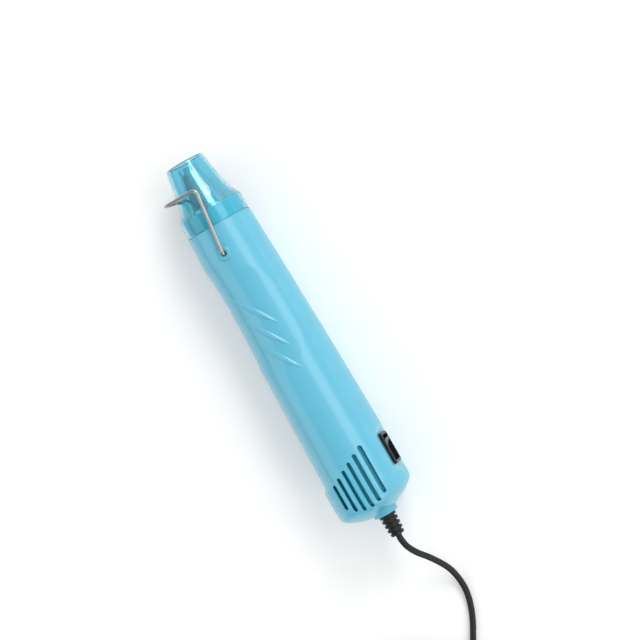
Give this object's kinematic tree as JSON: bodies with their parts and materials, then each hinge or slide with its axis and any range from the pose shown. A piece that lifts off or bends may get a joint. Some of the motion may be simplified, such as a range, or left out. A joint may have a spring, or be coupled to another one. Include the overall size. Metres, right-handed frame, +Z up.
{
  "type": "embossing heat tool",
  "caption": "Slim hand-held hot-air tool for embossing: tapered casing, translucent nozzle guard, swing-out wire stand, side rocker switch, tail vents and a mains cord with plug.",
  "frame": {"origin": "centre of the bottom of the tool's bounding box, on the table the tool lies on", "axes": "+Y along the tool's axis to the nozzle, +Z up out of the face with the grip ribs, +X to the switch side"},
  "size_m": [0.0887, 0.4159, 0.052],
  "materials": {
    "casing_aqua": "satin",
    "guard_translucent": "glossy, translucent",
    "polished_steel": "polished",
    "stand_wire": "plated wire",
    "black_switch": "glossy",
    "black_rubber": "satin",
    "cord_tie": "matte",
    "brass_pins": "bright",
    "heat_ring": "matte",
    "mica": "matte",
    "heating_wire": "dull",
    "cutout_body": "matte",
    "duct_plastic": "matte",
    "fan_plastic": "satin",
    "motor_steel": "plated",
    "motor_core": "wound",
    "magnet": "matte",
    "end_cap": "matte",
    "board": "matte",
    "diode_body": "satin",
    "grip_metal": "dull"
  },
  "bodies": {
    "casing": {"face_shell": "casing_aqua", "rear_shell": "casing_aqua", "case_screws": "stand_wire", "nozzle_guard": "guard_translucent", "nozzle_barrel": "polished_steel", "barrel_ring": "heat_ring", "mica_sleeve": "mica", "heater_former": "mica", "heating_coil": "heating_wire", "thermal_cutout": "cutout_body", "fan_housing": "duct_plastic", "motor_can": "motor_steel", "motor_magnets": "magnet", "motor_end_cap": "end_cap", "motor_terminals": "brass_pins", "rectifier_board": "board", "rectifier_diodes": "diode_body", "switch_housing": "black_switch", "rocker_pin": "stand_wire", "switch_terminals": "brass_pins", "strain_relief": "black_rubber", "cord_grip": "grip_metal", "inner_cord": "black_rubber", "power_cord": "black_rubber", "cord_coil": "black_rubber", "cord_tie": "cord_tie", "plug_lead": "black_rubber", "plug_body": "black_rubber", "plug_pins": "brass_pins"},
    "rotor": {"fan_impeller": "fan_plastic", "motor_shaft": "motor_steel", "armature": "motor_core"},
    "stand": {"wire_stand": "stand_wire"},
    "rocker": {"rocker": "black_switch"}
  },
  "joints": [
    {"name": "stand_swing", "type": "hinge", "parent": "casing", "child": "stand", "pos_m": [0, 0.06981, 0.026], "axis": [0, 0, 1], "range_deg": [0, 120]},
    {"name": "rocker_flip", "type": "hinge", "parent": "casing", "child": "rocker", "pos_m": [0.0185, -0.08209, 0.026], "axis": [0, 0, 1], "range_deg": [0, 20]},
    {"name": "fan_spin", "type": "hinge", "parent": "casing", "child": "rotor", "pos_m": [0, -0.01089, 0.026], "axis": [0, 1, 0], "continuous": true}
  ]
}
